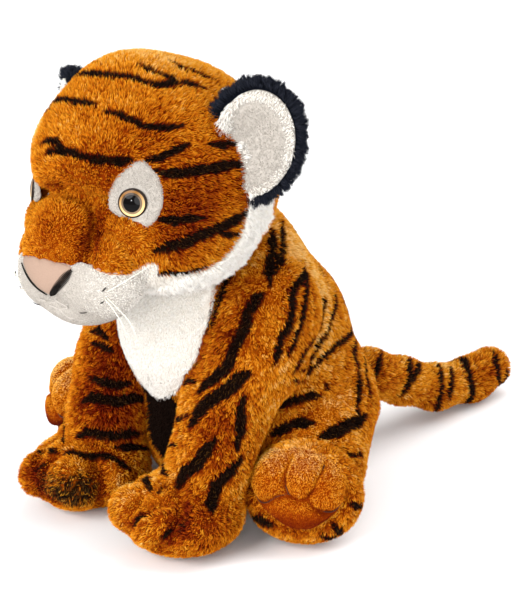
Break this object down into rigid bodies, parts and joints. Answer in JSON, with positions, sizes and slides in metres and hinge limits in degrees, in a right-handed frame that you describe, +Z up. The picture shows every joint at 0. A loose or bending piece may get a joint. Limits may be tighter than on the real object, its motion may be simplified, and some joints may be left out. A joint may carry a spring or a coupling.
{
  "type": "plush tiger",
  "caption": "Sitting plush tiger with striped pile skins, white bib and muzzle, plastic eyes and sewn-on limbs that flex at their seams.",
  "frame": {"origin": "centre of the flat seat under the torso, on the floor", "axes": "+Z up, -Y the way the tiger faces, +X the tiger's left side"},
  "size_m": [0.2422, 0.391, 0.2817],
  "materials": {
    "gold_plush": "matte",
    "black_plush": "matte",
    "white_plush": "matte",
    "polyester_stuffing": "matte",
    "pellet_pouch": "matte",
    "amber_plastic": "gloss",
    "nylon_washer": "satin",
    "pink_fabric": "matte",
    "dark_thread": "matte",
    "pale_thread": "matte",
    "whisker_filament": "satin",
    "short_pile": "matte"
  },
  "bodies": {
    "torso": {"torso_skin": "gold_plush", "torso_stuffing": "polyester_stuffing", "pellet_pouch": "pellet_pouch", "chest_bib": "white_plush"},
    "neck": {"neck_stuffing": "polyester_stuffing"},
    "head": {"head_skin": "gold_plush", "head_stuffing": "polyester_stuffing", "muzzle_panel": "white_plush", "nose_patch": "pink_fabric", "nostril_stitch_left": "dark_thread", "nostril_stitch_right": "dark_thread", "mouth_stitch": "pale_thread", "eye_patch_left": "white_plush", "eye_patch_right": "white_plush", "safety_eye_left": "amber_plastic", "safety_eye_right": "amber_plastic", "lock_washer_left": "nylon_washer", "lock_washer_right": "nylon_washer", "ruff_left": "white_plush", "ruff_right": "white_plush", "whisker_left_1": "whisker_filament", "whisker_left_2": "whisker_filament", "whisker_left_3": "whisker_filament", "whisker_right_1": "whisker_filament", "whisker_right_2": "whisker_filament", "whisker_right_3": "whisker_filament"},
    "ear_left": {"ear_back_left": "black_plush", "ear_lining_left": "white_plush"},
    "foreleg_left": {"foreleg_left_skin": "gold_plush", "foreleg_left_stuffing": "polyester_stuffing"},
    "hindleg_left": {"hindleg_left_skin": "gold_plush", "hindleg_left_stuffing": "polyester_stuffing", "sole_pad_left": "short_pile", "toe_stitch_left": "dark_thread"},
    "ear_right": {"ear_back_right": "black_plush", "ear_lining_right": "white_plush"},
    "foreleg_right": {"foreleg_right_skin": "gold_plush", "foreleg_right_stuffing": "polyester_stuffing"},
    "hindleg_right": {"hindleg_right_skin": "gold_plush", "hindleg_right_stuffing": "polyester_stuffing", "sole_pad_right": "short_pile", "toe_stitch_right": "dark_thread"},
    "tail": {"tail_skin": "gold_plush", "tail_stuffing": "polyester_stuffing"}
  },
  "joints": [
    {"name": "neck_turn", "type": "hinge", "parent": "torso", "child": "neck", "pos_m": [0, -0.042, 0.166], "axis": [0, 0, 1], "range_deg": [-18, 18], "stiffness_Nm_per_rad": 0.8},
    {"name": "head_nod", "type": "hinge", "parent": "neck", "child": "head", "pos_m": [0, -0.042, 0.166], "axis": [0.9976, 0.0698, 0], "range_deg": [-7, 7], "stiffness_Nm_per_rad": 2},
    {"name": "ear_left_fold", "type": "hinge", "parent": "head", "child": "ear_left", "pos_m": [0.05036, -0.06019, 0.24997], "axis": [0.1568, 0.1977, 0.9676], "range_deg": [-13, 13], "stiffness_Nm_per_rad": 0.03},
    {"name": "foreleg_left_swing", "type": "hinge", "parent": "torso", "child": "foreleg_left", "pos_m": [0.045, -0.027, 0.131], "axis": [-1, 0, 0], "range_deg": [0, 24], "stiffness_Nm_per_rad": 0.5},
    {"name": "hindleg_left_splay", "type": "hinge", "parent": "torso", "child": "hindleg_left", "pos_m": [0.042, 0.018, 0.045], "axis": [0, 0, 1], "range_deg": [0, 15], "stiffness_Nm_per_rad": 0.5},
    {"name": "ear_right_fold", "type": "hinge", "parent": "head", "child": "ear_right", "pos_m": [-0.06053, -0.0686, 0.23181], "axis": [-0.4772, 0.1974, 0.8564], "range_deg": [-13, 13], "stiffness_Nm_per_rad": 0.03},
    {"name": "foreleg_right_swing", "type": "hinge", "parent": "torso", "child": "foreleg_right", "pos_m": [-0.045, -0.027, 0.131], "axis": [-1, 0, 0], "range_deg": [0, 24], "stiffness_Nm_per_rad": 0.5},
    {"name": "hindleg_right_splay", "type": "hinge", "parent": "torso", "child": "hindleg_right", "pos_m": [-0.042, 0.018, 0.045], "axis": [0, 0, -1], "range_deg": [0, 15], "stiffness_Nm_per_rad": 0.5},
    {"name": "tail_swing", "type": "hinge", "parent": "torso", "child": "tail", "pos_m": [0, 0.074, 0.048], "axis": [0, 0, 1], "range_deg": [-18, 18], "stiffness_Nm_per_rad": 0.15}
  ]
}
